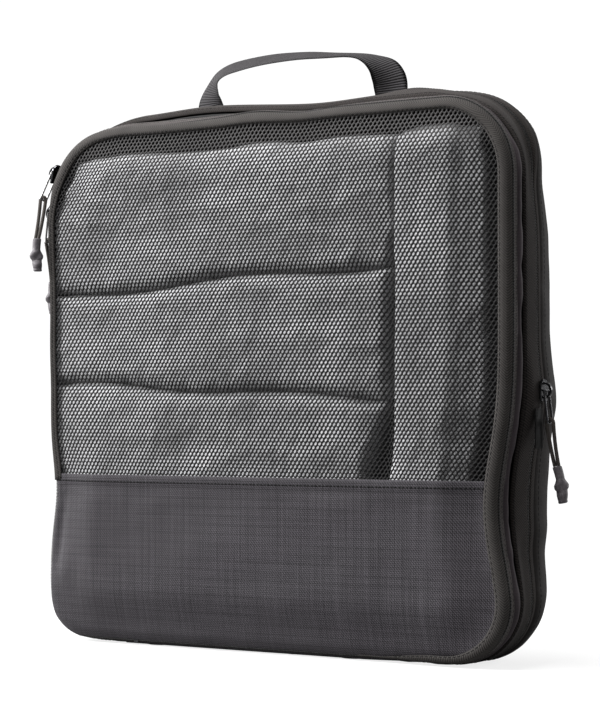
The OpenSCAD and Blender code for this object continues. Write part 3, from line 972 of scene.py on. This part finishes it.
def make_rear_body():
    """The band behind the compression zip and the crowned back panel, in one cloth."""
    rows = refine(rings(REAR), 3)
    centre = np.array([0.0, 0.0, 160.0])
    last = rows[-1]
    inner = []
    for s in np.linspace(0.94, 0.0, 24):
        r = centre + (last - centre) * np.array([s, 1, s])
        r[:, 1] = last[:, 1] + 5.6 * (1 - s ** 2.2)
        inner.append(r)
    rows = np.concatenate([rows, np.array(inner)])
    # a tiny ring closes the middle
    rows[-1] = rows[-2].mean(0) + (rows[-2] - rows[-2].mean(0)) * 0.02
    band = np.linspace(0, 1, len(rows))[:, None]
    soft = wrinkle(rows * np.array([1, 1, 0.45]), 34, 11.0) * 2.0 + wrinkle(rows, 15, 17.0) * 0.5
    n = grid_normals(rows, True)
    rows = rows + n * (soft * smooth(band / 0.14))[..., None] * np.minimum(1, rows[..., 2:3] / 20)
    rows[..., 2] = np.maximum(rows[..., 2], 0.0)
    rows = settle(rows)
    o = cloth("rear_body", rows, 0.9, "rear_shell", NYLON)
    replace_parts(o, "rear_band", "back_panel", "rear_seam_binding")
    stitch_row("rear_seam_stitches", rows[4], "rear_shell", radius=0.2)
    seam, beside = BACK_SEAM_ROW, BACK_SEAM_ROW + 2
    n = grid_normals(rows, True)
    tube_of("back_seam_piping", rows[seam], n[seam] * 0.4, 1.3, "rear_shell", PIPING)
    stitch_row("back_seam_stitches", rows[beside] + n[beside] * 0.1, "rear_shell",
               radius=0.25, material=PALE_THREAD)


def make_inner_gusset():
    """The folded gusset's two halves, hidden until the compression zip is open."""
    for name, node, body, inset, y0, y1 in (
        ("gusset_half_front", "front_gusset_half", "front_frame", 7.6, -12.6, 23.0),
        ("gusset_half_rear", "rear_gusset_half", "rear_shell", 5.9, -17.0, 24.0),
    ):
        spec = [(163 - inset, 163 - inset, inset, 323 - inset, 50 - inset, 40 - inset, y)
                for y in np.linspace(y0, y1, 9)]
        rows = settle(rings(spec))
        rows += grid_normals(rows, True) * (wrinkle(rows, 22, 21.0) * 0.3)[..., None]
        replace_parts(cloth(name, rows, 0.7, body, LINING), node)


# ---- clothes inside


def roll_off(distance, radius):
    """How far a rounded edge falls back at a distance in from it."""
    inner = np.maximum(radius - np.maximum(distance, 0), 0)
    return radius - np.sqrt(np.maximum(radius ** 2 - inner ** 2, 0))


BACK_X, BACK_Y = (-149, 139), 17.0  # the garments' backs end inside the cube's walls


def make_garment(name, left, right, low, high, seed, rolls=(2, 4, 5, 6), drape_and_shade=0.0):
    """A folded garment just behind the panel. left and right are its sides at a height, low and
    high its ends at an x, rolls the radii of its left, right, top and bottom edges, and the drape how
    far its right part hangs back, which also darkens it there with painted shade."""
    uu, vv = np.meshgrid(np.linspace(0, 1, 110), np.linspace(0, 1, 60))
    middle = (low(0.0) + high(0.0)) / 2
    x = left(middle) + (right(middle) - left(middle)) * uu
    z = high(x) + (low(x) - high(x)) * vv
    x = left(z) + (right(z) - left(z)) * uu
    edges = (x - left(z), right(z) - x, high(x) - z, z - low(x))
    fall = np.max([roll_off(d, r) for d, r in zip(edges, rolls)], 0)
    # the drape hangs the right part back and, through fall, also gives it painted shade
    fall = fall + drape_and_shade * rise(x - left(z), 34, 43)
    front = np.stack([x, panel_y(x, z) + 1.2 + 1.2 * fall, z], -1)
    soft = np.abs(wrinkle(front * np.array([0.6, 1, 1.3]), 24, seed)) * 2.2
    soft += np.abs(wrinkle(front * np.array([1.2, 1, 0.7]), 13, seed + 5)) * 0.8
    front[..., 1] += soft
    back = front.copy()
    back[..., 0] = np.clip(back[..., 0], *BACK_X)
    back[..., 1] = BACK_Y
    # painted shade: darker where the edges roll back and in the wrinkles
    shade = 1 - 0.9 * smooth((fall + 0.5 * soft) / 6.5)
    o = cloth(name, settle(front), 0, "front_frame", GARMENT, closed=False, back=settle(back), shade=shade)


def make_contents():
    """Three folded shirts in a stack on the left and a column of trousers on the right."""
    def stack_left(z):
        return -162.5 + 5 * rise(z, 118, 94) + 7 * rise(z, 222, 236) + 11 * rise(z, 262, 296)

    def stack_right(z):
        return (GAP_X - 0.8 - 2.2 * rise(z, 214, 194) + 1.4 * rise(z, 160, 150)
                - 13 * rise(z, 148, 102) + (2.6 + 1.2 * np.sin(z / 9)) * rise(z, 232, 246))

    def column_left(_):
        return GAP_X + 0.4

    def column_right(z):
        return 148.0 - 3.0 * rise(z, 150, 90) - 4.0 * rise(z, 272, 296)

    stack, column = (stack_left, stack_right), (column_left, column_right)
    make_garment("folded_shirt_top", *stack, upper_fold, lambda x: 297 + 0.8 * np.sin(x / 23), 2.0)
    make_garment("folded_shirt_middle", *stack, lower_fold, upper_fold, 4.0)
    make_garment("folded_shirt_low", *stack, lambda _: 40, lower_fold, 6.0, (7, 8, 5, 8))
    make_garment("folded_trousers", *column, lambda _: 30, lambda x: 302 - 0.0045 * (x - 114) ** 2,
                 9.0, (4, 8, 9, 9), 2.2)


# ---- handle

STRAP_Y, STRAP_WIDTH, STRAP_GAUGE = 6.0, 20.0, 1.7
# x, z, turn of the webbing from facing front (0) to lying flat (90)
STRAP = [
    (-66, 314, 0), (-66, 321, 0), (-67, 329, -8), (-66, 336.5, -28), (-62.5, 344, -45), (-54.5, 348.5, -54),
    (-40, 351, -58), (-22, 352.5, -62), (0, 352.5, -68), (20, 351, -74), (38, 349.5, -78),
    (49, 346.5, -72), (56.5, 341.5, -56), (60.5, 335, -38), (62, 329, -22), (62.5, 321, 0), (63, 314, 0),
]


def make_handle():
    """One length of webbing that turns from facing front at its feet to lying flat on top."""
    keys = np.array(STRAP, float)
    t = np.arange(len(keys))
    fine = np.linspace(0, len(keys) - 1, 150)
    tangents = np.gradient(keys, axis=0)

    def hermite(s):
        k = np.minimum(s.astype(int), len(keys) - 2)
        f = (s - k)[:, None]
        a, b, ta, tb = keys[k], keys[k + 1], tangents[k], tangents[k + 1]
        return ((2 * f ** 3 - 3 * f ** 2 + 1) * a + (f ** 3 - 2 * f ** 2 + f) * ta
                + (-2 * f ** 3 + 3 * f ** 2) * b + (f ** 3 - f ** 2) * tb)

    c = hermite(fine)
    centre = np.c_[c[:, 0], np.full(len(c), STRAP_Y), c[:, 1]]
    tangent = unit(np.gradient(centre, axis=0))
    depth = np.array([0.0, 1.0, 0.0])
    across = np.cross(depth, tangent)
    turn = np.radians(c[:, 2])[:, None]
    wide = np.cos(turn) * across + np.sin(turn) * depth
    thick = np.cross(tangent, wide)
    w = np.linspace(-0.5, 0.5, 9)[:, None, None]
    crown = 0.5 * (1 - (2 * w) ** 6)
    rows, back = (centre + wide * STRAP_WIDTH * w + side * thick * STRAP_GAUGE * crown for side in (1, -1))
    strap = cloth("handle_strap", rows, 0, None, WEBBING, closed=False, back=back)
    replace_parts(strap, "handle_webbing")
    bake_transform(strap)


# ---- sliders and pulls

# as in the design: lengths and heights in mm, angles in degrees
WIRE_L, PIVOT_N, CORD_R, CORD_L = 18.0, 2.6, 1.1, 24.0
BODY_W, BODY_H, TOP_R = 326.0, 323.0, 50.0
UPPER_ANGLE, UPPER_CANT, LOWER_LEAN, COMP_LEAN = 17.5, 15.0, 7.0, 7.0
LOWER_Z, COMP_Z = 264.0, 152.0
LOOP_R, MOUTH_GAP = 2.0, 1.15  # the cord's loop, and half the gap between its strands at the sleeve


def rot(axis, degrees):
    return Matrix.Rotation(math.radians(degrees), 4, axis)


def move(x, y, z):
    return Matrix.Translation((x, y, z))


def pull_frames():
    """For each pull: the frame at the wire's end, the drop from there to the sleeve's mouth and
    the sleeve's tilt."""
    upper = (move(-(BODY_W / 2 - TOP_R), CHAIN_Y, BODY_H - TOP_R) @ rot("Y", UPPER_ANGLE)
             @ move(-TOP_R, 0, 0) @ rot("Z", 180))
    lower = move(-BODY_W / 2, CHAIN_Y, LOWER_Z) @ rot("Z", 180)
    comp = move(BODY_W / 2, COMP_CHAIN_Y, COMP_Z)
    upper_wire = upper @ move(PIVOT_N, 0, 0) @ rot("X", UPPER_CANT)
    lower_wire = lower @ move(PIVOT_N, 0, 0) @ rot("Y", -LOWER_LEAN)
    comp_wire = comp @ move(PIVOT_N, 0, 0) @ rot("Y", -COMP_LEAN)
    down = move(0, 0, -WIRE_L)
    return {
        "upper": (upper_wire @ down @ rot("Y", UPPER_ANGLE) @ rot("X", -UPPER_CANT), (1.5, 4.0, -CORD_L), 0),
        "lower": (lower_wire @ down @ rot("Y", LOWER_LEAN), (1.4, -6.0, -CORD_L), 0),
        "compression": (comp_wire @ down @ rot("Y", COMP_LEAN), (2.0, 4.0, -CORD_L), -12),
    }


def cord_route(drop):
    """The cord's loop round the wire, with both strands ending in the sleeve."""
    def strand(side, share):
        return (side * (LOOP_R + (MOUTH_GAP - LOOP_R) * share) + drop[0] * share * share,
                drop[1] * share, drop[2] * share)

    shares = [1, 0.8, 0.6, 0.4, 0.2, 0.06]
    loop = [(LOOP_R * math.cos(math.radians(a)), 0, LOOP_R * math.sin(math.radians(a)))
            for a in (180, 150, 120, 90, 60, 30, 0)]
    return [strand(-1, s) for s in shares] + loop + [strand(1, s) for s in reversed(shares)]


def make_cord(name, place, drop):
    points = [place @ Vector(p) for p in cord_route(drop)]
    curve = bpy.data.curves.new(f"{name}_cord", "CURVE")
    curve.dimensions = "3D"
    curve.bevel_depth = CORD_R * MM
    curve.bevel_resolution = 3
    spline = curve.splines.new("POLY")
    spline.points.add(len(points) - 1)
    for p, q in zip(spline.points, points):
        p.co = (*(q * MM), 1)
    curve.use_fill_caps = True
    curve.materials.append(CORD)
    o = new_object(f"{name}_cord", curve)
    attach(o, f"{name}_pull")
    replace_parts(o, f"{name}_pull_cord")
    return o, points


# radius and distance below the sleeve's mouth
SLEEVE = [(0.0, 0.0), (1.9, 0.0), (2.5, 0.35), (2.6, 1.2), (2.55, 4.5), (2.7, 7.2), (3.25, 8.8), (3.6, 10.6),
          (3.3, 12.4), (2.7, 13.6), (2.95, 14.8), (3.2, 16.2), (2.95, 17.8), (2.6, 18.9), (2.7, 19.9),
          (2.2, 20.6), (0.0, 20.7)]
KNOT = (11.5, 4.5)  # middle and spread of the twist in the sleeve


def make_sleeve(name, place, drop, tilt):
    """Moulded sleeve with a knot in its middle."""
    profile = np.array(SLEEVE)
    t = np.linspace(0, len(profile) - 1, 60)
    r, z = (np.interp(t, np.arange(len(profile)), column)[:, None] for column in profile.T)
    a = np.linspace(0, 2 * np.pi, 28, endpoint=False)
    wide = r + 0.22 * r * np.sin(2 * a + z * 0.55) * bump(z, *KNOT)
    bend = 0.6 * np.sin(z / 5.0)
    local = np.stack([wide * np.cos(a) + bend, wide * np.sin(a), -z + 0 * a], -1).reshape(-1, 3)
    n = len(a)
    faces = [(k * n + i, (k + 1) * n + i, (k + 1) * n + (i + 1) % n, k * n + (i + 1) % n)
             for k in range(len(t) - 1) for i in range(n)]
    m = place @ move(*drop) @ rot("Y", tilt)
    me = mesh_of(f"{name}_sleeve", [m @ Vector(v) for v in local], faces)
    o = finish_piece(me, f"{name}_pull", RUBBER)
    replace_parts(o, f"{name}_pull_sleeve")
    return o


def make_pulls():
    for name, (place, drop, tilt) in pull_frames().items():
        sleeve = make_sleeve(name, place, drop, tilt)
        cord, points = make_cord(name, place, drop)


def dress(node, material, bevel=None):
    """A CAD part that keeps its shape and gets a real surface."""
    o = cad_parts[node]
    o.data.materials.clear()
    o.data.materials.append(material)
    if bevel:
        weld = o.modifiers.new("weld", "WELD")
        weld.merge_threshold = 0.00002
        b = o.modifiers.new("edge", "BEVEL")
        b.width, b.segments, b.limit_method, b.angle_limit = bevel, 2, "ANGLE", math.radians(40)


def dress_cad():
    """Surfaces for the CAD parts that are shown as they are."""
    for name, wire in (("upper", STEEL), ("lower", STEEL), ("compression", GUNMETAL)):
        dress(f"{name}_slider_body", GUNMETAL, 0.0003)
        dress(f"{name}_wire_pull", wire)
    dress("main_zip_end_stops", GUNMETAL)
    dress("compression_zip_end_tab", LINING)
    dress("handle_bartacks", WEBBING)


make_camera()
make_studio()
make_pulls()
make_net()
make_lower_panel()
make_front_tapes()
make_side_bands()
make_rear_body()
make_inner_gusset()
make_contents()
make_handle()
dress_cad()
